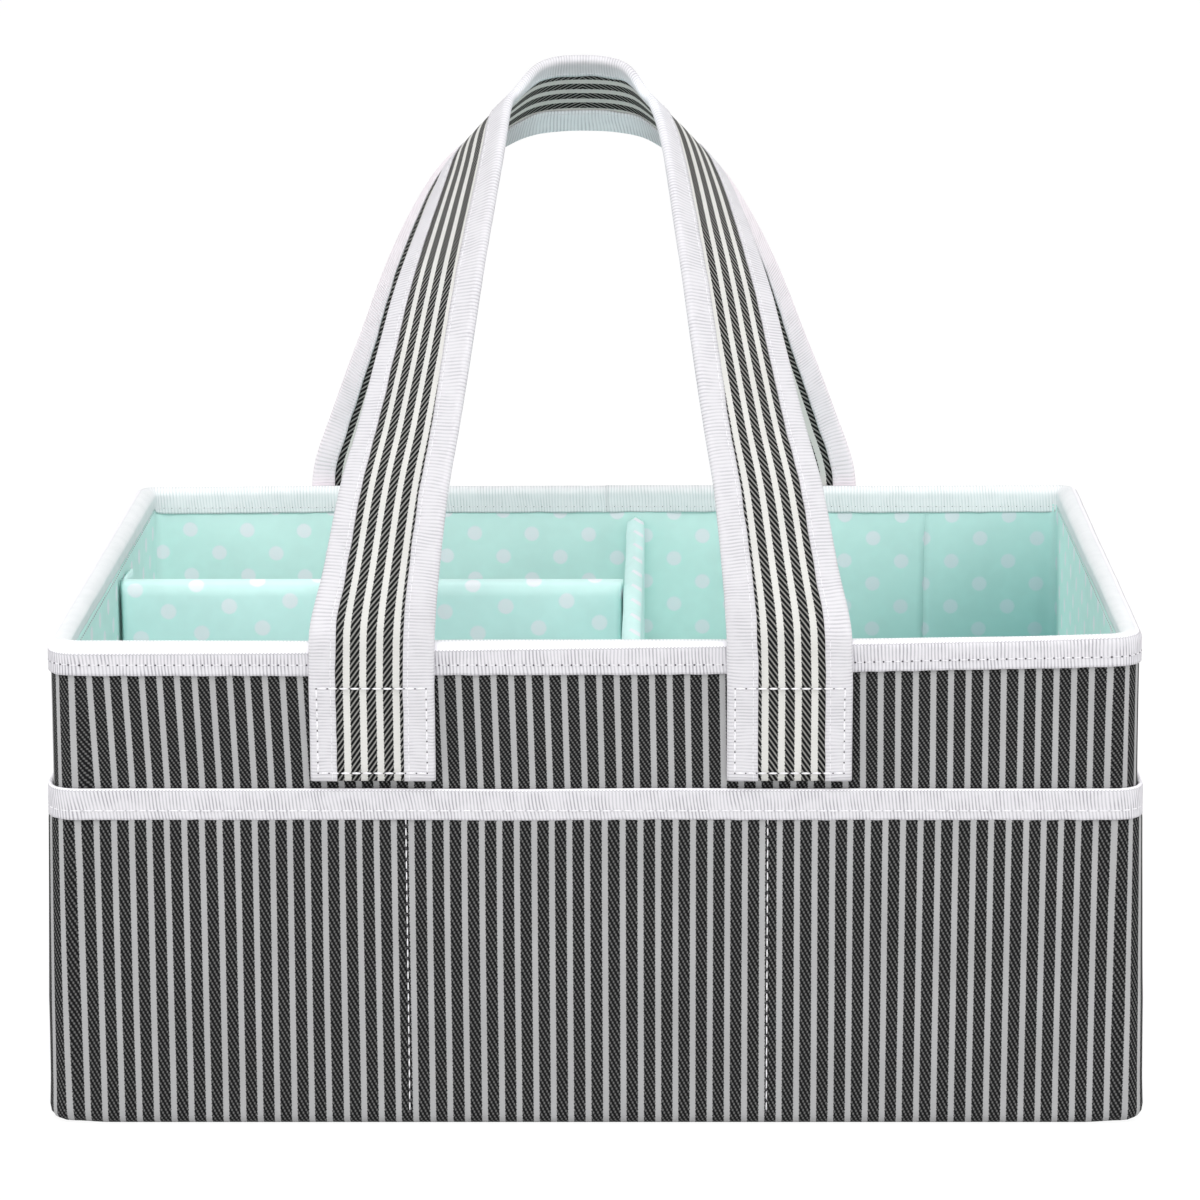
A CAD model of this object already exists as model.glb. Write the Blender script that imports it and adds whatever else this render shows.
"""A fabric diaper caddy: a striped, board-stiffened box with a dotted lining, a divider and two tote handles."""
import math

import bpy
from mathutils import Matrix, Vector, noise


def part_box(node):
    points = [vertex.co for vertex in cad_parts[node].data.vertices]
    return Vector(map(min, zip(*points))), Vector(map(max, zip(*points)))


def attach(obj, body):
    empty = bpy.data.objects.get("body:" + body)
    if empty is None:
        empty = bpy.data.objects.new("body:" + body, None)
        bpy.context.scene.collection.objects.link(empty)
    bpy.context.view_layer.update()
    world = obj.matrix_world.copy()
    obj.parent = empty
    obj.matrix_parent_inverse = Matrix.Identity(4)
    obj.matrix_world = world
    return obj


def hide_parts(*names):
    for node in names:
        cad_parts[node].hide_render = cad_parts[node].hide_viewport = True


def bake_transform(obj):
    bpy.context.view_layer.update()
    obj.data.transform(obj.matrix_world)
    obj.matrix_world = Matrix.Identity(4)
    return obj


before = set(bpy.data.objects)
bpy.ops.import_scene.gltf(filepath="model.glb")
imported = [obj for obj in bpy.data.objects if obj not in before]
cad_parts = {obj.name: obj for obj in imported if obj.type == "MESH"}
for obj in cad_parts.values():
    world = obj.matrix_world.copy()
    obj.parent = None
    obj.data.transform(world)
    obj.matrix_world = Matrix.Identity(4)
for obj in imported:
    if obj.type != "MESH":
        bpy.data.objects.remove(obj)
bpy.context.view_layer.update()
MM = 0.001

# The camera stands in front of the caddy, a little above its rim, and looks down into it. The long lens and the
# sideways shift give the near-flat view of a catalogue picture.
camera_place = (26.1 * MM, -1447.7 * MM, 511.5 * MM)
camera_dip = 13.6
camera_data = bpy.data.cameras.new("camera")
camera_data.sensor_width = 36
camera_data.lens = 117.45
camera_data.shift_x = -0.0583
camera_data.clip_end = 50
camera = bpy.data.objects.new("camera", camera_data)
camera.location = camera_place
camera.rotation_euler = (math.radians(90 - camera_dip), 0, 0)
bpy.context.collection.objects.link(camera)
bpy.context.scene.camera = camera
bpy.context.scene.view_settings.view_transform = "Standard"


# The stage is a broad white sheet under soft light: a wide lamp overhead, one on each side, a fainter one behind
# the camera and an even white surround. The sheet looks white but keeps the shadow under the caddy.
class Wire:
    """One socket in a material. Python's operators on it add Math nodes."""

    def __init__(self, socket):
        self.socket = socket

    def node(self, kind, settings=None, sockets=None, output=0):
        tree = self.socket.id_data
        made = tree.nodes.new("ShaderNode" + kind)
        for name, value in (settings or {}).items():
            setattr(made, name, value)
        for name, value in (sockets or {}).items():
            if isinstance(value, Wire):
                tree.links.new(value.socket, made.inputs[name])
            else:
                made.inputs[name].default_value = value
        return Wire(made.outputs[output])

    def maths(self, operation, *others):
        return self.node("Math", {"operation": operation}, dict(enumerate((self, *others))))

    def __add__(self, other):
        return self.maths("ADD", other)

    __radd__ = __add__

    def __sub__(self, other):
        return self.maths("SUBTRACT", other)

    def __rsub__(self, other):
        return self.node("Math", {"operation": "SUBTRACT"}, {0: other, 1: self})

    def __mul__(self, other):
        return self.maths("MULTIPLY", other)

    __rmul__ = __mul__

    def __truediv__(self, other):
        return self.maths("DIVIDE", other)

    def __mod__(self, other):
        return self.maths("FLOORED_MODULO", other)

    def wave(self, period):
        """A sine of this length's share of the period."""
        return (self * (2 * math.pi / period)).maths("SINE")

    def between(self, low, high):
        """0 below low, 1 above high, a smooth step between."""
        sockets = {0: self, 1: low, 2: high, 3: 0.0, 4: 1.0}
        return self.node("MapRange", {"interpolation_type": "SMOOTHSTEP"}, sockets)

    def mixed(self, first, second):
        """The colour first where this is 0, second where it is 1."""
        ends = [value if isinstance(value, Wire) else (*value, 1) for value in (first, second)]
        return self.node("Mix", {"data_type": "RGBA"}, {0: self, 6: ends[0], 7: ends[1]}, output=2)

    def times(self, colour):
        """This colour multiplied by another."""
        layers = {0: 1.0, 6: self, 7: colour}
        return self.node("Mix", {"data_type": "RGBA", "blend_type": "MULTIPLY"}, layers, output=2)

    def parts(self):
        """The numbers of a vector, in millimetres."""
        split = self.node("SeparateXYZ", None, {0: self}).socket.node
        return [Wire(output) / MM for output in split.outputs]

    def grain(self, scale, detail=2.0):
        """A noise from 0 to 1, with scale blotches to the metre."""
        return self.node("TexNoise", None, {"Vector": self, "Scale": scale, "Detail": detail})


def start_material(name, coordinates="UVMap"):
    """A new material's surface shader and the wire that gives the place on its piece."""
    material = bpy.data.materials.new(name)
    material.use_nodes = True
    tree = material.node_tree
    tree.nodes.clear()
    shader = tree.nodes.new("ShaderNodeBsdfPrincipled")
    output = tree.nodes.new("ShaderNodeOutputMaterial")
    tree.links.new(shader.outputs[0], output.inputs["Surface"])
    if coordinates == "UVMap":
        place = tree.nodes.new("ShaderNodeUVMap")
        place.uv_map = "UVMap"
        return material, shader, Wire(place.outputs[0])
    place = tree.nodes.new("ShaderNodeTexCoord")
    return material, shader, Wire(place.outputs["Object"])


def join(value, shader, name):
    shader.id_data.links.new(value.socket, shader.inputs[name])


def dull(shader, roughness, specular=0.5):
    """Set how rough the surface is, and how strong its highlights are."""
    shader.inputs["Roughness"].default_value = roughness
    shader.inputs["Specular IOR Level"].default_value = specular


def emboss(height, shader, strength, depth):
    """Give the shader the small unevenness height, depth millimetres deep."""
    bump = height.node("Bump", None, {"Strength": strength, "Distance": depth * MM, "Height": height})
    join(bump, shader, "Normal")


def deselect():
    bpy.ops.object.select_all(action="DESELECT")


stage_size = 12.0
shadow_share = 0.13
sheet_tone = 0.85
surround_light = 0.64
sheet_glow = (1 - shadow_share * sheet_tone * surround_light) / (1 - shadow_share)
deselect()
bpy.ops.mesh.primitive_plane_add(size=stage_size, location=(0, 0, 0))
floor = bpy.context.object
floor.name = "floor"
floor_material, floor_shader, floor_place = start_material("white_sheet", "Object")
floor_shader.inputs["Base Color"].default_value = (sheet_tone, sheet_tone, sheet_tone, 1)
dull(floor_shader, 0.9)


def seen_rays(wire):
    """1 for rays that come from the camera, or by way of a gloss or a clear surface."""
    path = wire.node("LightPath").socket.node
    camera_ray = Wire(path.outputs["Is Camera Ray"])
    glossy_ray = Wire(path.outputs["Is Glossy Ray"])
    return camera_ray.maths("MAXIMUM", glossy_ray).maths("MAXIMUM", Wire(path.outputs["Is Transmission Ray"]))


floor_seen = seen_rays(floor_place)
floor_glow = floor_place.node("Emission", None, {"Color": (1, 1, 1, 1), "Strength": sheet_glow})
floor_layers = {0: floor_seen * (1 - shadow_share), 1: Wire(floor_shader.outputs[0]), 2: floor_glow}
floor_mix = floor_place.node("MixShader", None, floor_layers)
floor_output = floor_material.node_tree.nodes["Material Output"]
floor_material.node_tree.links.new(floor_mix.socket, floor_output.inputs["Surface"])
floor.data.materials.append(floor_material)

world = bpy.data.worlds.new("surround")
world.use_nodes = True
bpy.context.scene.world = world
surround = world.node_tree.nodes["Background"]
surround.inputs["Color"].default_value = (1, 1, 1, 1)
surround_seen = seen_rays(Wire(surround.outputs[0]))
surround_strength = surround_seen * (1 - surround_light) + surround_light
world.node_tree.links.new(surround_strength.socket, surround.inputs["Strength"])


def add_lamp(name, place, aim, size, watts):
    lamp = bpy.data.lights.new(name, "AREA")
    lamp.shape = "DISK"
    lamp.size = size
    lamp.energy = watts
    holder = bpy.data.objects.new(name, lamp)
    holder.location = place
    holder.rotation_euler = (Vector(aim) - Vector(place)).to_track_quat("-Z", "Y").to_euler()
    bpy.context.collection.objects.link(holder)


add_lamp("overhead_lamp", place=(0, -1.1, 1.75), aim=(0, 0, 0.1), size=1.2, watts=18)
add_lamp("left_lamp", place=(-2.2, -0.7, 1.3), aim=(0, 0, 0.12), size=1.2, watts=15)
add_lamp("right_lamp", place=(2.2, -0.7, 1.3), aim=(0, 0, 0.12), size=1.2, watts=15)
add_lamp("front_lamp", place=(0, -3.0, 0.5), aim=(0, 0, 0.25), size=1.5, watts=10)

# Grey fibre boards stiffen the four walls, the base and the dividers. They are cut flat and slipped between the
# cloths, so that only their matt brown-grey edges would ever show.
board_material, board_shader, board_place = start_material("fibre_board", "Object")
board_colour = board_place.grain(900.0, 4.0).between(0.35, 0.7).mixed((0.30, 0.22, 0.14), (0.46, 0.36, 0.25))
join(board_colour, board_shader, "Base Color")
dull(board_shader, 0.9)


def paint_solid(name, material):
    """Give one of the caddy's solids a material in place of its own."""
    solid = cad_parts[name]
    solid.data.materials.clear()
    solid.data.materials.append(material)


for stiffened in ("front", "back", "left", "right", "base", "cross_divider", "long_divider"):
    paint_solid(f"{stiffened}_board", board_material)

# The outside is a single strip of striped cotton twill, wrapped round the box with its closing seam at the back.
# The walls are a little wider at the foot than at the rim, the corners are soft, and the strip turns in under the
# base, on a tight edge along the front and back and a wide one at the corners.
rim_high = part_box("rim_binding")[1]
tape_standoff = 0.8 * MM
half_width = rim_high.x - tape_standoff
half_depth = rim_high.y - tape_standoff
rim_height = rim_high.z
wall_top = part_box("outer_sleeve")[1].z
base_flare = 4.2 * MM
front_corner = 12 * MM
back_corner = 6 * MM
foot_corner = -4 * MM
corner_power = 2.4
corner_length = 1.6
sharpest_corner = 1 * MM
side_bulge = {-1: (1.7 * MM, 2.4 * MM), 1: (1.2 * MM, 2.6 * MM)}
wall_thickness = 6 * MM
side_run = 2 * half_depth - front_corner - back_corner
half_girth = 2 * half_width + side_run + (corner_length - 1) * (front_corner + back_corner)
girth = 2 * half_girth
front_run = half_width - front_corner
base_gap = 1.1 * MM
tight_edge = 2.5 * MM
wide_edge = 4.5 * MM
edge_lead = 4 * MM
edge_run = 14 * MM


def around(s, z, out=0.0, reach=None):
    """The place on the wall s metres round from the middle of the front, out from the twill's face. reach, where
    it is given, is the radius of the corners, and the side walls don't bulge."""
    turn = (s + half_girth) % girth - half_girth
    side = 1 if turn >= 0 else -1
    s = abs(turn)
    low = min(max(1 - z / rim_height, 0.0), 1.0)
    grow = out + base_flare * low**2
    share = min(max(1 + out / wall_thickness, 0.0), 1.0) * (1 if reach is None else 0)
    front_x = half_width + grow + side_bulge[side][0] * share
    back_x = half_width + grow + side_bulge[side][1] * share * (1 - low)
    depth = half_depth + grow
    fronts = max(front_corner + foot_corner * low + out, sharpest_corner) if reach is None else reach
    backs = max(back_corner + foot_corner * low + out, sharpest_corner) if reach is None else reach
    front_end = front_x - fronts
    side_start = front_end + corner_length * fronts
    back_start = half_girth - (back_x - backs)
    side_end = back_start - corner_length * backs

    def bend(share):
        angle = min(max(share, 0.0), 1.0) * math.pi / 2
        return math.sin(angle) ** (2 / corner_power), 1 - math.cos(angle) ** (2 / corner_power)

    if s < front_end:
        x, y = s, -depth
    elif s < side_start:
        across, back = bend((s - front_end) / (side_start - front_end))
        x, y = front_end + fronts * across, -depth + fronts * back
    elif s < side_end:
        along = (s - side_start) / (side_end - side_start)
        x = front_x + (back_x - front_x) * along
        y = -depth + fronts + (2 * depth - fronts - backs) * along
    elif s < back_start:
        across, back = bend((back_start - s) / (back_start - side_end))
        x, y = back_x - backs + backs * across, depth - backs * back
    else:
        x, y = half_girth - s, depth
    return Vector((side * x, y, z))


def smooth_step(value):
    value = min(max(value, 0.0), 1.0)
    return value * value * (3 - 2 * value)


def base_edge(s):
    """The radius on which the cloth turns in under the base."""
    turn = abs((s + half_girth) % girth - half_girth)
    beside = min(turn, half_girth - turn)
    return tight_edge + (wide_edge - tight_edge) * smooth_step((beside - front_run + edge_lead) / edge_run)


def wrapped(s, drop, top, out=0.0):
    """The place of cloth s metres round and drop metres down from the height top, on under the base edge."""
    edge = base_edge(s)
    straight = top - base_gap - edge
    if drop <= straight:
        return around(s, top - drop, out)
    angle = (drop - straight) / (edge + out)
    if angle <= math.pi / 2:
        level = base_gap + edge - (edge + out) * math.sin(angle)
        return around(s, level, (edge + out) * math.cos(angle) - edge)
    under = drop - straight - (edge + out) * math.pi / 2
    return around(s, base_gap - out, -edge - under)


def ripple(x, y, scale, depth, seed=0.0):
    """A smooth unevenness, alike on every run."""
    return depth * noise.noise(Vector((x / scale, y / scale, seed)))


def cloth(name, columns, rows, place, cut, seam=False):
    """A sheet of cloth: a grid whose point (u, v) goes to place(u, v). cut gives its pattern's coordinates there."""
    deselect()
    bpy.ops.mesh.primitive_grid_add(x_subdivisions=columns, y_subdivisions=rows, size=1, calc_uvs=True)
    piece = bpy.context.object
    piece.name = name
    mesh = piece.data
    mesh.name = name
    spots = [(vertex.co.x + 0.5, vertex.co.y + 0.5) for vertex in mesh.vertices]
    cuts = [cut(u, v) for u, v in spots]
    layer = mesh.uv_layers[0]
    layer.name = "UVMap"
    for loop in mesh.loops:
        layer.data[loop.index].uv = cuts[loop.vertex_index]
    for vertex, (u, v) in zip(mesh.vertices, spots):
        vertex.co = place(u, v)
    if seam:
        bpy.ops.object.mode_set(mode="EDIT")
        bpy.ops.mesh.select_all(action="SELECT")
        bpy.ops.mesh.remove_doubles(threshold=0.01 * MM)
        bpy.ops.object.mode_set(mode="OBJECT")
    bpy.ops.object.shade_smooth()
    return piece


def thicken(piece, thickness, offset=-1.0):
    bpy.context.view_layer.objects.active = piece
    solidify = piece.modifiers.new("thickness", "SOLIDIFY")
    solidify.thickness = thickness
    solidify.offset = offset
    solidify.use_even_offset = True
    bpy.ops.object.modifier_apply(modifier=solidify.name)


def dress(piece, material, body, slot, *nodes):
    piece.data.materials.append(material)
    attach(piece, body)
    if nodes:
        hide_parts(*nodes)


stripe_pitch = 6.133
light_stripe = 2.3
stripe_edge = 0.22
stripe_fray = 0.35
weft_gap = 0.55
weft_wave = 2.62
weft_shift = 0.09
warp_gap = 0.5


def twill_material(name, pitch, light, rows, pale, fleck):
    """Charcoal twill with pale stripes along v, lengths in mm. rows are the lines its flecks lie on: the gap
    between two lines, their lean and their strength."""
    material, shader, place = start_material(name)
    across, along, _ = place.parts()
    fray = place.grain(2600.0) - 0.5
    steps = (along / weft_gap).maths("FLOOR").wave(weft_wave) * weft_shift
    beside = (across + fray * stripe_fray + steps) % pitch
    stripe = beside.between(0.0, stripe_edge) * (1 - beside.between(light - stripe_edge, light))
    thread = fray * 0.8
    for gap, lean, strength in rows:
        thread = thread + (across + along * lean).wave(gap) * strength
    dark = thread.between(-0.3, 1.7).mixed((0.004, 0.004, 0.0045), fleck)
    threads = along.wave(warp_gap) * 0.5 + 0.5
    light = (threads * 0.5 + fray * 0.9 + 0.25).mixed([value * 0.86 for value in pale], pale)
    tone = place.grain(35.0, 3.0).between(0.3, 0.7).mixed((0.93, 0.93, 0.93), (1, 1, 1))
    join(stripe.mixed(dark, light).times(tone), shader, "Base Color")
    dull(shader, 0.85, 0.15)
    emboss((1 - stripe) * thread * 0.3 + stripe * threads * 0.4 + fray * 0.6, shader, 0.3, 0.1)
    return material


body_rows = ((1.56, 0.49, 1.0), (1.47, -0.9, 0.6))
body_pale = (0.42, 0.42, 0.425)
body_twill = twill_material("striped_twill", stripe_pitch, light_stripe, body_rows, body_pale, (0.15, 0.15, 0.15))
stripe_phase = 177.4 * MM
twill_thickness = 0.8 * MM
sleeve_top = wall_top - 3.5 * MM
sleeve_length = sleeve_top - base_gap + 8 * MM
sleeve_crowding = 1.25
mean_lean = 0.045
lean_middle = 0.55
lean_sway = 0.45
lean_spread = 1.6


def sleeve_lean(s):
    """How far the stripes of the upper part lean, as a share of their height: most at the left of the front."""
    if abs(s) > front_run:
        return 0.0
    return mean_lean * (lean_middle - lean_sway * math.sin(lean_spread * s / front_run))


def sleeve_place(u, v):
    s = (u - 0.5) * girth
    drop = (1 - v) * sleeve_length
    return wrapped(s, drop, sleeve_top, ripple(s, drop, 60 * MM, 0.12 * MM, 1.0))


def sleeve_cut(u, v):
    s = (u - 0.5) * girth
    rise = v * sleeve_length - sleeve_length * 0.9
    return (s + stripe_phase + sleeve_lean(s) * rise, v * sleeve_length * sleeve_crowding)


outer_sleeve = cloth("outer_sleeve_cloth", 480, 60, sleeve_place, sleeve_cut, seam=True)
thicken(outer_sleeve, twill_thickness)
dress(outer_sleeve, body_twill, "box", "striped_twill", "outer_sleeve")

# Under the box lies a plain panel of the same twill, cut to the base and sewn to the strip all round.
base_low, base_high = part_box("outer_base_panel")


def laid_flat(low, high):
    """The pattern of a flat panel, whose corners these are, in metres across and along it."""
    return lambda u, v: (u * (high.x - low.x), v * (high.y - low.y))


def base_place(u, v):
    return Vector((base_low.x + u * (base_high.x - base_low.x), base_low.y + v * (base_high.y - base_low.y), 0))


base_cloth = cloth("outer_base_cloth", 60, 40, base_place, laid_flat(base_low, base_high))
thicken(base_cloth, twill_thickness, offset=1.0)
dress(base_cloth, body_twill, "box", "striped_twill", "outer_base_panel")

# The lining is mint cotton printed with white dots. One strip goes round inside the walls, with its closing seam
# near the right end of the back, and a thin padded panel of the same cotton covers the floor.
dot_column = 11.68
dot_row = 9.6
dot_radius = 3.0
dot_blur = 0.4
weave_gap = 0.42
deep_x = (20, 195)
deep_y = (100, 122)
deep_z = (90, 190)
deep_share = 0.75
deep_tone = (0.30, 0.47, 0.48)


def lining_material(name, mint, dot):
    """Mint cotton with staggered dots on a lattice in the cloth's own coordinates. In the box's right back corner
    it is drawn in a deeper tone, most at the foot."""
    material, shader, place = start_material(name)
    across, along, _ = place.parts()
    fray = place.grain(1500.0) - 0.5

    def from_dot(shift_x, shift_y):
        x = (across + shift_x + dot_column) % (2 * dot_column) - dot_column
        y = (along + shift_y + dot_row) % (2 * dot_row) - dot_row
        return (x * x + y * y).maths("SQRT")

    distance = from_dot(0.0, 0.0).maths("MINIMUM", from_dot(dot_column, dot_row)) + fray * 0.5
    spot = 1 - distance.between(dot_radius - dot_blur, dot_radius + dot_blur)
    weave = across.wave(weave_gap) * along.wave(weave_gap)
    ground = place.grain(28.0).between(0.3, 0.7).mixed([value * 0.95 for value in mint], mint)
    slub = place.grain(160.0, 1.0).between(0.35, 0.75) * 0.25
    ground = slub.mixed(ground, [min(value * 1.08, 1) for value in mint])
    x, y, z = place.node("TexCoord", output="Object").parts()
    corner = x.between(*deep_x) * y.between(*deep_y) * (1 - z.between(*deep_z) * deep_share)
    join(spot.mixed(ground, dot).times(corner.mixed((1, 1, 1), deep_tone)), shader, "Base Color")
    dull(shader, 0.7, 0.2)
    emboss(weave * 0.5 + fray * 0.5 + spot * 0.6, shader, 0.2, 0.06)
    return material


lining_cotton = lining_material("dotted_cotton", (0.665, 0.915, 0.87), (0.85, 0.89, 0.92))
lining_inset = 4.2 * MM
lining_thickness = 0.7 * MM
lining_corner = 2.5 * MM
pad_low, pad_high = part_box("base_pad")
lining_low = pad_low.z
seam_x = 130.5 * MM
lining_seam = half_girth - seam_x
lining_length = sleeve_top - lining_low
lining_face = lining_inset + lining_thickness
first_dot = (121.2 * MM, 149.9 * MM)
row_slope = -0.013
seam_shift = (-9.34 * MM, 1.5 * MM)
lining_slack = 0.1 * MM
most_pucker = 0.2 * MM
crease_depth = 0.05 * MM
crease_width = 1.5 * MM
dots_ease_from = 340 * MM
dots_ease_to = 120 * MM


def lining_place(u, v):
    s = lining_seam + (1 - u) * girth
    z = lining_low + v * lining_length
    from_seam = min(u, 1 - u) * girth
    pucker = ripple(s, z, 35 * MM, 0.35 * MM, 5.0) + ripple(s, z * 0.35, 14 * MM, 0.12 * MM, 8.0)
    crease = crease_depth * math.exp(-((from_seam / crease_width) ** 2))
    inset = lining_face + lining_slack + min(pucker, most_pucker) + crease
    return around(s, z, -inset, lining_corner)


def lining_cut(u, v):
    run = (1 - u) * girth
    eased = smooth_step((run - dots_ease_from) / (girth - dots_ease_from - dots_ease_to))
    x = seam_x - run
    z = lining_low + v * lining_length
    slope = row_slope * x * (1 - eased)
    return (x - first_dot[0] + seam_shift[0] * eased, z - first_dot[1] - slope + seam_shift[1] * eased)


lining = cloth("lining_cloth", 420, 44, lining_place, lining_cut)
thicken(lining, lining_thickness)
dress(lining, lining_cotton, "box", "dotted_lining", "lining_sleeve")
pad_edge = 8 * MM
pad_thinnest = 0.45
pad_crown = 0.5


def pad_surface(u, v):
    across = pad_high.x - pad_low.x
    deep = pad_high.y - pad_low.y
    x = pad_low.x + u * across
    y = pad_low.y + v * deep
    edge = min(u * across, (1 - u) * across, v * deep, (1 - v) * deep) / pad_edge
    crown = min(max(edge, 0.0), 1.0) ** 0.5
    height = pad_low.z + (pad_high.z - pad_low.z) * (pad_thinnest + pad_crown * crown)
    return Vector((x, y, height + ripple(x, y, 40 * MM, 0.1 * MM)))


base_pad = cloth("base_pad_cover", 90, 60, pad_surface, laid_flat(pad_low, pad_high))
thicken(base_pad, 0.6 * MM)
dress(base_pad, lining_cotton, "box", "dotted_lining", "base_pad")

# The pocket band is a second strip of the twill that goes round the lower part of the box. It is sewn in under
# the base and held to the wall by two lines of stitches on the front and on the back, which part it in pockets.
pocket_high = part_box("pocket_binding")[1]
pocket_top = pocket_high.z - 0.6 * MM
division_places = (-66.8 * MM, 60.5 * MM)
band_standoff = 0.3 * MM
band_swell = 0.9 * MM
band_stretch = 0.9947
band_phase = 175.8 * MM
band_length = pocket_top - base_gap + 3.9 * MM
swell_across = 22 * MM
swell_below_top = 12 * MM
swell_above_foot = 15 * MM
swell_rise = 30 * MM


def held_distance(s):
    """How far cloth at s is from the nearest line of pocket stitches or box corner."""
    turn = (s + half_girth) % girth - half_girth
    beside = min(abs(turn), half_girth - abs(turn))
    if beside > front_run:
        return beside - front_run
    x = math.copysign(beside, turn)
    return min([abs(x - place) for place in division_places] + [front_run - beside])


def band_out(s, drop):
    """How far the band's outer face stands out: it swells a little between the lines that hold it."""
    away = min(held_distance(s) / swell_across, 1.0)
    above_foot = min(max((pocket_top - drop - swell_above_foot) / swell_rise, 0.0), 1.0)
    down = min(drop / swell_below_top, 1.0) * above_foot
    swell = band_swell * math.sin(away * math.pi / 2) * down
    uneven = ripple(s, drop * 0.5, 26 * MM, 0.3 * MM, 3.0) * away * down
    return band_standoff + twill_thickness + swell + uneven


def band_place(u, v):
    s = (u - 0.5) * girth
    drop = (1 - v) * band_length
    return wrapped(s, drop, pocket_top, band_out(s, drop))


def band_cut(u, v):
    s = (u - 0.5) * girth
    rise = v * band_length
    return (s * band_stretch + band_phase + ripple(s, rise * 0.3, 45 * MM, 0.5 * MM, 7.0), rise)


band = cloth("pocket_band_cloth", 480, 60, band_place, band_cut, seam=True)
thicken(band, twill_thickness)
dress(band, body_twill, "box", "striped_twill", "pocket_band")

# White ribbed tape is folded over every raw top edge and sewn through with one row of stitches. One ring closes
# the top of the pocket band, the other the box's rim, where it holds twill, board and lining together. The rim
# isn't quite level: it rises to the right of the front and along the back.
inner_white = (0.86, 0.875, 0.89)
inner_groove = (0.64, 0.68, 0.69)
crown_light = 1.3
crown_widens = (440, 810)
crown_narrows = (1150, 1240)
arch_middle = 4
arch_reach = (12, 34)
arch_from = (300, 330)
arch_to = (357, 366)
arch_tint = (1.36, 1.42, 1.42)


def tape_material(name, rib, white, groove, folds, middle):
    """White grosgrain with ribs across the tape, rib their pitch in mm and slant. They close up on the fold, which
    starts so many millimetres from the tape's edge at the left of the front, and so many at its right. Past its
    middle the tape has the tone of the rim's inside, and at the top of the arches it is drawn lighter."""
    material, shader, place = start_material(name)
    along, across, _ = place.parts()
    fray = place.grain(1800.0) - 0.5
    sway = place.grain(60.0, 1.0) - 0.5
    pitch, slant = rib
    line = along + sway * 2.0 + across * slant + fray * 0.15
    ribs = line.wave(pitch)
    groove_mask = (1 - ribs.between(-0.85, 0.3)) * (0.5 + 0.5 * place.grain(140.0, 1.0).between(0.35, 0.65))
    wider = along.between(*crown_widens) * (1 - along.between(*crown_narrows))
    loops = folds[0] + wider * (folds[1] - folds[0]) - line.wave(2 * pitch).maths("ABSOLUTE") * 0.5
    inside = across.between(middle - 1.5, middle - 0.5)
    crown = (across - loops).between(0.0, 0.25) * (1 - inside)
    outline = (1 - (across - loops).maths("ABSOLUTE").between(0.1, 0.4)) * 0.7
    shade = (groove_mask * (1 - crown * 0.9)).maths("MAXIMUM", outline)
    outer = crown.mixed(shade.mixed(white, groove), [value * crown_light for value in white])
    inner = (groove_mask * 0.8).mixed(inner_white, inner_groove)
    x, _, z = place.node("TexCoord", output="Object").parts()
    beside = (x + arch_middle).maths("ABSOLUTE").between(*arch_reach)
    arch = (1 - beside) * z.between(*arch_from) * (1 - z.between(*arch_to))
    join(inside.mixed(outer, inner).times(arch.mixed((1, 1, 1), arch_tint)), shader, "Base Color")
    dull(shader, 0.65, 0.2)
    emboss(ribs * (0.5 - crown * 0.4) + fray * 0.3, shader, 0.4, 0.12)
    return material


tape_thickness = 0.5 * MM
front_rise = ((-190, -0.9), (50, -0.85), (70, -0.7), (105, -0.1), (130, 0.4), (150, 0.8), (190, 1.8))
front_taper = ((-190, 0.0), (20, 0.0), (60, 0.3), (105, 0.9), (150, 1.1), (190, 0.7))
back_rise = ((-190, 1.2), (-60, 1.9), (190, 2.0))
side_from = 183 * MM
side_ease = 6 * MM
inner_narrowing = 1.3
side_narrowing = 4.1
side_slope = 0.9


def read_off(table, x):
    """The height between the points of a table, both in millimetres."""
    for (x0, z0), (x1, z1) in zip(table, table[1:]):
        if x <= x1:
            return z0 + (z1 - z0) * max(x - x0, 0) / (x1 - x0)
    return table[-1][1]


def rim_rise(s):
    """How far the rim stands above or below its even height."""
    point = around(s, rim_height)
    x = point.x / MM
    back = (point.y / half_depth + 1) / 2
    return (read_off(front_rise, x) * (1 - back) + read_off(back_rise, x) * back) * MM


def rim_taper(s):
    """How much narrower the rim tape's outer half is, towards the right of the front, and its inner half, most
    along the two sides."""
    point = around(s, rim_height)
    side = smooth_step((abs(point.x) - side_from) / side_ease)
    inner = inner_narrowing + side * (side_narrowing - side_slope * point.y / half_depth)
    return read_off(front_taper, point.x / MM) * (0.5 - point.y / half_depth / 2) * MM, inner * MM


def level(s):
    return 0.0


def untapered(s):
    return 0.0, 0.0


def fold_path(outer, inner, top, cover, radius):
    """A function from 0 to 1 that runs up the outside of a folded tape, over its fold and down its inside."""
    radius = min(radius, (outer - inner) / 2)
    leg = cover - radius
    flat = outer - inner - 2 * radius
    arc = radius * math.pi / 2
    total = 2 * leg + 2 * arc + flat

    def point(t):
        run = t * total
        if run < leg:
            return outer, top - cover + run, run
        run -= leg
        if run < arc:
            angle = run / radius
            return outer - radius * (1 - math.cos(angle)), top - radius * (1 - math.sin(angle)), leg + run
        run -= arc
        if run < flat:
            return outer - radius - run, top, leg + arc + run
        run -= flat
        if run < arc:
            angle = run / radius
            out = inner + radius * (1 - math.sin(angle))
            return out, top - radius * (1 - math.cos(angle)), total - leg - arc + run
        run -= arc
        return inner, top - radius - run, total - leg + run

    return point, total


edge_wave_fade = 4 * MM
taper_fade = 10 * MM


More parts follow.
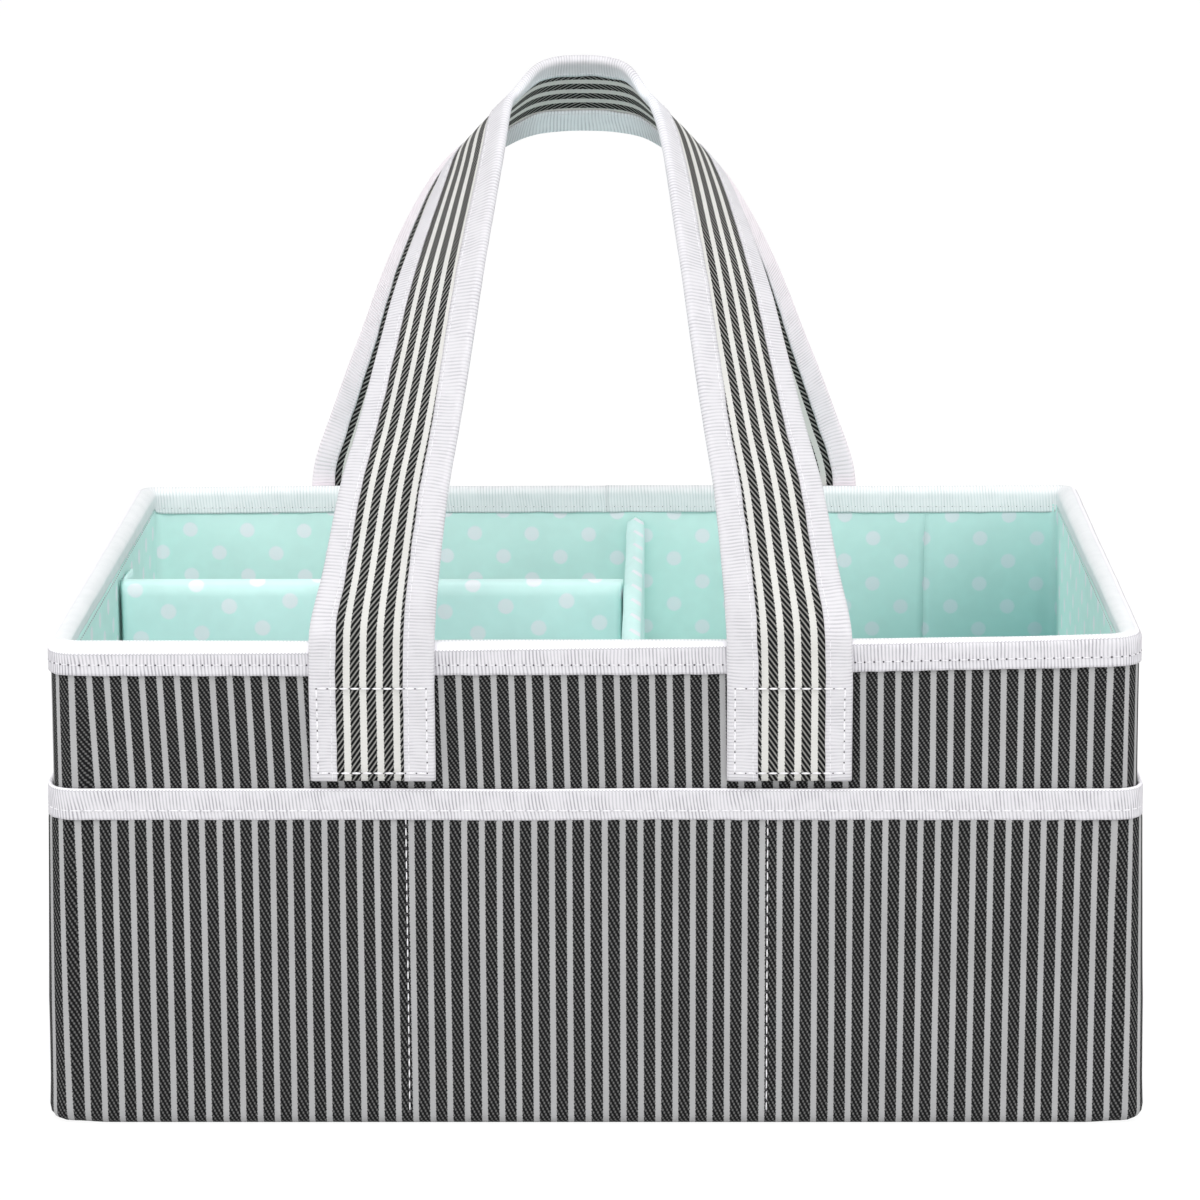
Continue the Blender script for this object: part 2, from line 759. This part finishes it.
def folded_tape(name, path, total, rise, taper, seed, material):
    """A ring of tape round the box. path is its section, rise its height's change along the wall and taper what
    its outer and inner half lack in width."""

    def place(u, v):
        s = (u - 0.5) * girth
        out, z, run = path(v)
        hang = max(0.0, 1 - min(run, total - run) / edge_wave_fade)
        z += ripple(s, seed + (10 if v > 0.5 else 0), 6 * MM, 0.3 * MM, seed) * hang
        outside, inside = (max(0.0, 1 - far / taper_fade) for far in (run, total - run))
        z += taper(s)[0] * outside + taper(s)[1] * inside
        z += rise(s) + ripple(s, seed, 60 * MM, 0.4 * MM, seed + 2)
        out += ripple(s, v * 0.02, 12 * MM, 0.12 * MM, seed + 4)
        return around(s, z, out)

    def cut(u, v):
        return (u * girth, path(v)[2])

    piece = cloth(name, 620, 26, place, cut, seam=True)
    thicken(piece, tape_thickness)
    dress(piece, material, "box", "white_grosgrain")
    return piece


rim_cover = 11.9 * MM
rim_inner = -5.5 * MM
rim_crown = rim_height - 0.4 * MM
rim_path, rim_total = fold_path(tape_standoff, rim_inner, rim_crown, rim_cover, 3.4 * MM)
tape_white = (0.68, 0.67, 0.70)
tape_groove = (0.38, 0.37, 0.40)
rim_tape = tape_material("rim_grosgrain", (1.225, 0.05), tape_white, tape_groove, (8.0, 11.4), rim_total / MM / 2)
rim_binding = folded_tape("rim_binding_tape", rim_path, rim_total, rim_rise, rim_taper, 11.0, rim_tape)
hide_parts("rim_binding")
pocket_outer = 2.0 * MM
pocket_cover = 11.2 * MM
pocket_path, pocket_total = fold_path(pocket_outer, 0.3 * MM, pocket_high.z + 0.1 * MM, pocket_cover, 0.85 * MM)
pocket_tape = tape_material("pocket_grosgrain", (1.225, 0.14), tape_white, tape_groove, (10.9, 10.9), 30)
pocket_binding = folded_tape("pocket_binding_tape", pocket_path, pocket_total, level, untapered, 21.0, pocket_tape)
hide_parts("pocket_binding")


# Every seam is a row of lockstitches in white thread. Each stitch is a short rounded thread, half sunk in the
# cloth, and between two stitches the needle has left a dark hole.
def plain_material(name, colour, roughness):
    material, shader, place = start_material(name, "Object")
    shade = [value * 0.8 for value in colour]
    join(place.grain(4000.0, 1.0).between(0.3, 0.7).mixed(shade, colour), shader, "Base Color")
    dull(shader, roughness)
    return material


white_thread = plain_material("white_thread", (0.88, 0.87, 0.90), 0.6)
needle_hole = plain_material("needle_hole", (0.07, 0.065, 0.075), 0.9)
faint_hole = plain_material("faint_hole", (0.40, 0.39, 0.42), 0.9)


def bead(segments, rings):
    """The points and faces of a bead one metre long in every direction, its poles along z."""
    deselect()
    bpy.ops.mesh.primitive_uv_sphere_add(segments=segments, ring_count=rings, radius=0.5)
    pattern = bpy.context.object
    shape = [vertex.co.copy() for vertex in pattern.data.vertices]
    faces = [tuple(face.vertices) for face in pattern.data.polygons]
    bpy.data.objects.remove(pattern)
    return shape, faces


def sew(name, runs, pitch, lengths, thickness, material):
    """One piece of beads along runs. A run is (place, metres): place(d) gives the point and outward normal there.
    lengths are the ends of each bead as shares of the pitch."""
    shape, pattern = bead(6, 4)
    points = []
    faces = []
    for place, metres in runs:
        count = max(round(metres / pitch), 1)
        step = metres / count
        for index in range(count):
            a, out = place((index + lengths[0]) * step)
            b, _ = place((index + lengths[1]) * step)
            run = b - a
            out = out.normalized()
            across = out.cross(run).normalized()
            turn = Matrix((across * thickness, out * thickness * 0.8, run)).transposed()
            first = len(points)
            middle = (a + b) / 2
            points.extend(middle + turn @ corner for corner in shape)
            faces.extend(tuple(first + corner for corner in face) for face in pattern)
    mesh = bpy.data.meshes.new(name)
    mesh.from_pydata(points, [], faces)
    mesh.update()
    piece = bpy.data.objects.new(name, mesh)
    bpy.context.collection.objects.link(piece)
    deselect()
    piece.select_set(True)
    bpy.context.view_layer.objects.active = piece
    bpy.ops.object.mode_set(mode="EDIT")
    bpy.ops.mesh.select_all(action="SELECT")
    bpy.ops.mesh.normals_make_consistent(inside=False)
    bpy.ops.object.mode_set(mode="OBJECT")
    bpy.ops.object.shade_smooth()
    piece.data.materials.append(material)
    return piece


def seam_row(name, runs, pitch, thread, hole, hole_material):
    """A row of stitches: the threads, and the holes between them. thread and hole are their thicknesses."""
    gap = hole / pitch / 2
    threads = sew(f"{name}_threads", runs, pitch, (gap, 1 - gap), thread, white_thread)
    holes = sew(f"{name}_holes", runs, pitch, (-gap * 0.9, gap * 0.9), hole, hole_material)
    return threads, holes


def ring_run(z, out, rise, outward=1):
    """Stitches round the box at a height, on a face out from the twill."""

    def place(d):
        s = d - half_girth
        height = z + rise(s)
        point = around(s, height, out)
        return point, (around(s, height, out + 1 * MM) - point) * outward

    return place, girth


row_follows = 0.62
rim_row = rim_crown - rim_cover + 3.8 * MM
pocket_row = pocket_high.z - pocket_cover + 3.4 * MM
division_foot = 5 * MM
pocket_division_run = pocket_top - 14 * MM


def rim_row_rise(s):
    return rim_rise(s) + row_follows * rim_taper(s)[0]


def division_run(x, face):
    """Stitches up one pocket division, on the front (-1) or the back (1)."""

    def place(d):
        s = x if face < 0 else math.copysign(half_girth - abs(x), x)
        z = division_foot + d
        out = band_out(s, pocket_top - z)
        point = around(s, z, out)
        return point, around(s, z, out + 1 * MM) - point

    return place, pocket_division_run


rim_pitch = 3.3 * MM
outer_run = ring_run(rim_row, tape_standoff, rim_row_rise)
inner_run = ring_run(rim_row, rim_inner, rim_rise, -1)
pocket_run = ring_run(pocket_row, pocket_outer, level)
division_runs = [division_run(x, face) for face in (-1, 1) for x in division_places]
# Each row's runs, the gap from stitch to stitch, and how thick its threads and holes are
seams = [
    *seam_row("rim_outer", [outer_run], rim_pitch, 0.38 * MM, 0.74 * MM, needle_hole),
    *seam_row("rim_inner", [inner_run], rim_pitch, 0.3 * MM, 0.4 * MM, needle_hole),
    *seam_row("pocket_top", [pocket_run], 3.8 * MM, 0.55 * MM, 0.4 * MM, faint_hole),
    *seam_row("pocket_division", division_runs, 4.0 * MM, 0.55 * MM, 0.7 * MM, needle_hole),
]
for seam in seams:
    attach(seam, "box")

# Each handle is one strap of the twill, its sides bound in the white tape, sewn flat to the wall at both ends
# with a box of stitches. Above the rim it leans in and twists, so that its inner edge turns to the front.
strap_half = 22 * MM
strap_face = 1.8 * MM
strap_core = 1.25 * MM
seam_height = rim_height - 16.8 * MM
end_height = rim_height - 50.5 * MM
wall_gap = 0.3 * MM
strap_wall = half_depth + tape_standoff + wall_gap + strap_face
# A handle's shares are its stations, from the seam on the wall to the middle of the arch: spread, lean, rise, turn,
# dip and curl. Another program fitted them by least squares to the straps' lines in the photograph. Some were then
# changed by hand.
handle_forms = {
    "front": {
        "side": -1,
        "spread": 72.9 * MM,
        "shift": -5 * MM,
        "apex_inset": 121 * MM,
        "apex_height": 354.6 * MM,
        "left_fullness": 2.5 * MM,
        "shares": (
            (1, 0, 0, 0, 0, 0),
            (0.997, 0, 0.05, 0, 0, 0),
            (0.992, 0, 0.1, 1, 0, 0),
            (0.978, 0.022, 0.142, 11, 0, 2),
            (0.952, 0.056, 0.2, 20, 0, 3),
            (0.891, 0.135, 0.343, 27, 1, 3),
            (0.822, 0.218, 0.456, 32, 5, 3),
            (0.746, 0.324, 0.593, 36, 10, 2),
            (0.676, 0.447, 0.719, 38, 18, 3),
            (0.567, 0.685, 0.874, 43, 30, 8),
            (0.486, 0.824, 0.941, 48, 36, 14),
            (0.39, 0.889, 0.957, 62, 41, 10),
            (0.237, 0.973, 0.992, 78, 43, 4),
            (0, 1, 1, 90, 43, 0),
        ),
    },
    "back": {
        "side": 1,
        "spread": 89.8 * MM,
        "shift": -9.3 * MM,
        "apex_inset": 75.7 * MM,
        "apex_height": 347 * MM,
        "left_fullness": 0.0,
        "shares": (
            (1, 0, 0, 0, 0, 0),
            (1, 0, 0.05, 0, 0, 0),
            (1, 0, 0.1, 1, 0, 0),
            (0.985, 0.023, 0.14, 8, -8, 3),
            (0.937, 0.057, 0.209, 18, -19, 3),
            (0.873, 0.146, 0.308, 26, -25, 6),
            (0.82, 0.244, 0.396, 35, -27, 9),
            (0.777, 0.359, 0.485, 45, -30, 13),
            (0.74, 0.486, 0.567, 57, -33, 15),
            (0.674, 0.647, 0.674, 71, -33, 16),
            (0.595, 0.809, 0.789, 88, -26, 20),
            (0.445, 0.931, 0.901, 100, -9, 16),
            (0.24, 0.98, 0.973, 97, 2, 8),
            (0, 1, 1, 90, 7, 0),
        ),
    },
}


def curve_through(rows, t):
    """The smooth curve through rows of numbers, at t from 0 to 1."""
    place = t * (len(rows) - 1)
    index = min(int(place), len(rows) - 2)
    w = place - index
    b, c = rows[index], rows[index + 1]
    a = rows[index - 1] if index > 0 else [2 * p - q for p, q in zip(b, c)]
    d = rows[index + 2] if index + 2 < len(rows) else [2 * q - p for p, q in zip(b, c)]
    result = []
    for p, q, r, s in zip(a, b, c, d):
        t0, t1 = (r - p) / 2, (s - q) / 2
        result.append((2 * q - 2 * r + t0 + t1) * w**3 + (-3 * q + 3 * r - 2 * t0 - t1) * w**2 + t0 * w + q)
    return result


arch_steps = 400
end_steps = 30
arch_start = seam_height + 0.3 * MM
end_ease = 12 * MM
shoulder_rise = 0.95
shoulder_width = 0.05


def strap_route(form):
    """The strap's stations from one sewn end over the arch to the other: distance, point, across, face, curl."""
    side = form["side"]
    rows = []
    for mirror in (1, -1):
        shares = form["shares"] if mirror == 1 else form["shares"][-2::-1]
        for spread, lean, rise, turn, dip, curl in shares:
            x = form["shift"] - mirror * spread * form["spread"]
            if mirror == 1:
                x -= form["left_fullness"] * math.exp(-(((rise - shoulder_rise) / shoulder_width) ** 2))
            y = side * (strap_wall - lean * form["apex_inset"])
            z = arch_start + rise * (form["apex_height"] - arch_start)
            rows.append((x, y, z, turn if mirror == 1 else 180 - turn, dip, curl))
    arch = [curve_through(rows, step / arch_steps) for step in range(arch_steps + 1)]
    ends = []
    for leg in (-1, 1):
        end = []
        for step in range(end_steps):
            z = end_height + (arch_start - end_height) * step / end_steps
            flare = base_flare * (1 - z / rim_height) ** 2
            y = half_depth + flare + wall_gap + strap_face
            y += (strap_wall - y) * smooth_step((z - seam_height + end_ease) / end_ease)
            end.append((form["shift"] + leg * form["spread"], side * y, z, 0 if leg < 0 else 180, 0, 0))
        ends.append(end)
    chain = ends[0] + arch + ends[1][::-1]
    route = []
    travelled = 0.0
    for index, (*spot, turn, dip, curl) in enumerate(chain):
        point = Vector(spot)
        before = Vector(chain[max(index - 1, 0)][:3])
        after = Vector(chain[min(index + 1, len(chain) - 1)][:3])
        travelled += (point - before).length
        turn, dip = math.radians(turn), math.radians(dip)
        flat = math.cos(dip)
        across = Vector((flat * math.cos(turn), -flat * math.sin(turn), math.sin(dip)))
        face = (after - before).cross(across).normalized()
        route.append((travelled, point, across, face, math.radians(max(curl, 0))))
    return route


def station_at(route, distance):
    """The strap's point, across and face directions and curl at a distance along it."""
    low, high = 0, len(route) - 1
    while high - low > 1:
        middle = (low + high) // 2
        if route[middle][0] <= distance:
            low = middle
        else:
            high = middle
    a, b = route[low], route[high]
    share = min(max((distance - a[0]) / (b[0] - a[0]), 0), 1)
    across = a[2].lerp(b[2], share).normalized()
    face = a[3].lerp(b[3], share).normalized()
    return a[1].lerp(b[1], share), across, face, a[4] + (b[4] - a[4]) * share


def strap_spot(route, distance, across, lift):
    """A place on the strap. Its section is a flat arc whose edges bend back from the camera's side."""
    point, width, face, curl = station_at(route, distance)
    angle = curl * across / (2 * strap_half)
    sag = angle * across / 2
    return point + width * (across - lift * math.sin(angle)) + face * (sag + lift * math.cos(angle))


strap_stripe_pitch = 5.77
strap_pale = (0.69, 0.685, 0.66)
strap_rows = ((1.73, 0.7, 1.2),)
strap_twill = twill_material("strap_twill", strap_stripe_pitch, 2.6, strap_rows, strap_pale, (0.32, 0.315, 0.30))
strap_tape = tape_material("strap_grosgrain", (1.2, 0.0), (0.66, 0.65, 0.675), (0.49, 0.48, 0.51), (30, 30), 60)
light_tape = tape_material("light_grosgrain", (1.2, 0.0), (0.85, 0.79, 0.83), (0.66, 0.62, 0.65), (30, 30), 60)
strap_columns = 320
inner_slim = ((170, 0.0), (231, 1.2), (312, 2.0), (343, 3.0), (350, 1.8), (356, 0.0))
first_light_stripe = 12.0 * MM
core_half = strap_half - 1.2 * MM
tucked = 9 * MM
edge_row = 1.7 * MM
leg_from = 235 * MM
leg_ease = 60 * MM
apex_from = 320 * MM
apex_ease = 25 * MM
slim_lean = 40 * MM
slim_share = 0.35


def tape_edge(route, sign, face, distance):
    """How far across the strap its edge tape reaches on one face. sign is 1 for the inner tape, face is 1 for
    the arch's underside."""
    height = station_at(route, distance)[0].z
    high = smooth_step((height - leg_from) / leg_ease)
    apex = smooth_step((height - apex_from) / apex_ease)
    cover = {(1, -1): 11 + 1.6 * high, (1, 1): 12.0 - 2.4 * apex, (-1, -1): 9.5, (-1, 1): 10 + 3.5 * apex}[sign, face]
    ruffle = 0.35 + 0.6 * apex * (face > 0)
    return strap_half - cover * MM + ripple(distance, sign * 0.1, 9 * MM, ruffle * MM, 36.0 + face)


def slim_edge(route, distance):
    """How much the inner tape draws the strap in, up towards the arch, more on the right leg than on the left."""
    point = station_at(route, distance)[0]
    lean = min(max(point.x / slim_lean, -1), 1)
    return read_off(inner_slim, point.z / MM) * (1 + slim_share * lean) * MM


def tape_across(route, sign, t, distance):
    """Round the strap's edge, from the cloth on one face round the side to the cloth on the other: how far
    across, how high over the strap's middle, and how far from the tape's nearer edge."""
    side = strap_half - strap_face - (slim_edge(route, distance) if sign > 0 else 0)
    starts = [tape_edge(route, sign, face, distance) for face in (sign, -sign)]
    runs = [side - start for start in starts]
    arc = strap_face * math.pi
    run = t * (runs[0] + arc + runs[1])
    if run < runs[0]:
        return starts[0] + run, strap_face, run
    run -= runs[0]
    if run < arc:
        angle = run / strap_face
        return side + strap_face * math.sin(angle), strap_face * math.cos(angle), runs[0] + min(run, arc - run)
    run -= arc
    return side - run, -strap_face, runs[1] - run


def make_handle(name, form):
    route = strap_route(form)
    length = route[-1][0]
    seed = 31.0 if form["side"] < 0 else 47.0

    def core_place(u, v):
        across = (2 * v - 1) * core_half
        under_tape = max(across - core_half + tucked, 0.0) / tucked
        across -= slim_edge(route, u * length) * under_tape
        return strap_spot(route, u * length, across, ripple(u * length, across, 18 * MM, 0.12 * MM, seed))

    def core_cut(u, v):
        across = strap_half + (2 * v - 1) * core_half
        return (across - first_light_stripe, abs(u - 0.5) * length)

    def tape(label, sign):
        def place(u, v):
            across, lift, _ = tape_across(route, sign, v, u * length)
            return strap_spot(route, u * length, sign * across, sign * lift)

        def cut(u, v):
            return (u * length, tape_across(route, sign, v, u * length)[2])

        piece = cloth(f"{name}_{label}_binding_tape", strap_columns, 20, place, cut)
        thicken(piece, tape_thickness)
        return piece

    core = cloth(f"{name}_strap_cloth", strap_columns, 24, core_place, core_cut)
    thicken(core, 2 * strap_core, offset=0.0)

    def edge_run(sign, face):
        def place(d):
            across = sign * (tape_edge(route, sign, face, d) + edge_row)
            point = strap_spot(route, d, across, face * strap_face)
            return point, strap_spot(route, d, across, face * (strap_face + 1 * MM)) - point

        return place, length

    rows = [edge_run(sign, face) for sign in (-1, 1) for face in (-1, 1)]
    threads, holes = seam_row(f"{name}_strap_edge", rows, 3.4 * MM, 0.22 * MM, 0.3 * MM, faint_hole)
    pieces = {"strap": core, "inner_binding": tape("inner", 1), "outer_binding": tape("outer", -1)}
    for part, piece in pieces.items():
        cored = part == "strap"
        tape_look = light_tape if name == "back" and part == "outer_binding" else strap_tape
        piece.data.materials.append(strap_twill if cored else tape_look)
        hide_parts(f"{name}_handle_{part}", f"{name}_left_end_{part}", f"{name}_right_end_{part}")
    for piece in (*pieces.values(), threads, holes):
        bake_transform(piece)
    return route, length


box_inset = 2.9 * MM


def end_box_runs(form, route, length):
    """The box of stitches on each sewn end, on the strap's outer face."""
    outward = form["side"]
    lift = outward * strap_face
    low, high = box_inset, seam_height - end_height
    box_side = strap_half - box_inset

    def line(flip, start, end):
        def place(d):
            share = d / (end - start).length
            distance, across = start.lerp(end, share)
            where = length - distance if flip else distance
            point = strap_spot(route, where, across, lift)
            return point, strap_spot(route, where, across, lift + outward * 1 * MM) - point

        return place, (end - start).length

    corners = [Vector(pair) for pair in ((low, -box_side), (low, box_side), (high, box_side), (high, -box_side))]
    return [line(flip, corners[i - 1], corners[i]) for flip in (0, 1) for i in range(4)]


for handle_name, handle_form in handle_forms.items():
    handle_route, handle_length = make_handle(handle_name, handle_form)
    box_runs = end_box_runs(handle_form, handle_route, handle_length)
    for seam in seam_row(f"{handle_name}_strap_end", box_runs, 4.0 * MM, 0.8 * MM, 0.6 * MM, needle_hole):
        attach(seam, "box")

# The divider stands loose in the box: boards slipped into covers of the lining's cotton, a long one across the
# left half and a cross one beside it, and a flap at the left end that turns back and grips the wall.
divider_cotton = lining_material("divider_cotton", (0.67, 0.93, 0.90), (0.85, 0.90, 0.93))
cross_low, cross_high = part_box("cross_divider_cover")
long_low, long_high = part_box("long_divider_cover")
divider_half = (cross_high.x - cross_low.x) / 2
cross_middle = (cross_low.x + cross_high.x) / 2
half_board = 2 * MM
long_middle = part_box("long_divider_board")[0].y + half_board
divider_height = cross_high.z - cross_low.z
cover_thickness = 0.6 * MM
long_start = long_low.x - 0.8 * MM
end_taper = 1.5 * MM


def slab_path(half, low, high):
    """Up one face of a divider, over its rounded top and down the other: offset, height and distance."""
    leg = high - half - low
    arc = half * math.pi
    total = 2 * leg + arc

    def point(t):
        run = t * total
        if run < leg:
            return -half, low + run, run
        if run < leg + arc:
            angle = (run - leg) / half
            return -half * math.cos(angle), high - half + half * math.sin(angle), run
        return half, high - half - (run - leg - arc), run

    return point, total


def divider_cover(name, start, end, held, place_at, seed, origin, dot_turn, node):
    """A cover over one divider: its two faces and rounded top in one sheet, drawn together at its ends. held is
    the share of its thickness that it keeps there."""
    path, total = slab_path(divider_half, cross_low.z, cross_high.z)
    turn = math.radians(dot_turn)

    def place(u, v):
        offset, z, run = path(v)
        along = start + (end - start) * u
        close = min(u, 1 - u) * (end - start) / end_taper
        drawn = held + (1 - held) * min(close, 1.0) ** 0.5
        slack = abs(ripple(along, z, 45 * MM, 0.5 * MM, seed)) * min(close / 5, 1.0)
        return place_at(along, offset * drawn + math.copysign(slack, offset), z)

    def cut(u, v):
        x = start + (end - start) * u - origin[0]
        y = path(v)[2] - origin[1]
        return (x * math.cos(turn) - y * math.sin(turn), x * math.sin(turn) + y * math.cos(turn))

    piece = cloth(name, 130, 80, place, cut)
    thicken(piece, cover_thickness)
    dress(piece, divider_cotton, "divider_insert", "divider_cloth", node)
    return piece


divider_cover(
    "long_divider_cloth",
    start=long_start,
    end=long_high.x,
    held=0.1,
    place_at=lambda along, offset, z: Vector((along, long_middle + offset, z)),
    seed=61.0,
    origin=(-165.4 * MM, 147.9 * MM),
    dot_turn=-5.2,
    node="long_divider_cover",
)
divider_cover(
    "cross_divider_cloth",
    start=cross_low.y,
    end=cross_high.y,
    held=0.0,
    place_at=lambda along, offset, z: Vector((cross_middle - offset, along, z)),
    seed=67.0,
    origin=(10 * MM, 150 * MM),
    dot_turn=0.0,
    node="cross_divider_cover",
)
flap_length = long_high.y - long_middle
flap_bend = 7 * MM
flap_thickness = 1.0 * MM
flap_below = 2 * MM
flap_lift = 0.9 * MM
flap_lift_run = 12 * MM
flap_dots_from = -190 * MM
flap_dots_run = 30 * MM


def flap_place(u, v):
    """The flap leaves the long divider's end on a soft bend and lies back along the left wall."""
    arc = flap_bend * math.pi / 2
    run = u * (arc + flap_length - flap_bend)
    z = cross_low.z + v * (divider_height - flap_below)
    x, y = long_start + 0.3 * MM, long_middle + flap_bend + run - arc
    if run < arc:
        angle = run / flap_bend
        x += flap_bend * (1 - math.sin(angle))
        y = long_middle + flap_bend * (1 - math.cos(angle))
    rise = flap_lift * math.exp(-(((run - arc) / flap_lift_run) ** 2)) * v
    return Vector((x + abs(ripple(y, z, 25 * MM, 0.3 * MM, 71.0)), y, z + rise))


def flap_cut(u, v):
    return (flap_dots_from - u * flap_dots_run, v * divider_height)


flap = cloth("divider_flap_cloth", 30, 50, flap_place, flap_cut)
thicken(flap, flap_thickness, offset=1.0)
dress(flap, divider_cotton, "divider_insert", "divider_cloth")

# Hook-and-loop tape holds the flap: a loop strip sewn to the lining and a hook strip on the flap's back, both of
# white nylon with a short pile.
pile_material, pile_shader, pile_place = start_material("hook_and_loop", "Object")
pile = pile_place.node("TexVoronoi", None, {"Vector": pile_place, "Scale": 900.0})
join(pile.between(0.1, 0.7).mixed((0.80, 0.84, 0.83), (0.45, 0.5, 0.49)), pile_shader, "Base Color")
emboss(pile, pile_shader, 0.8, 0.3)
dull(pile_shader, 0.8)
for strip_name in ("flange_hook_tape", "flange_loop_tape"):
    paint_solid(strip_name, pile_material)
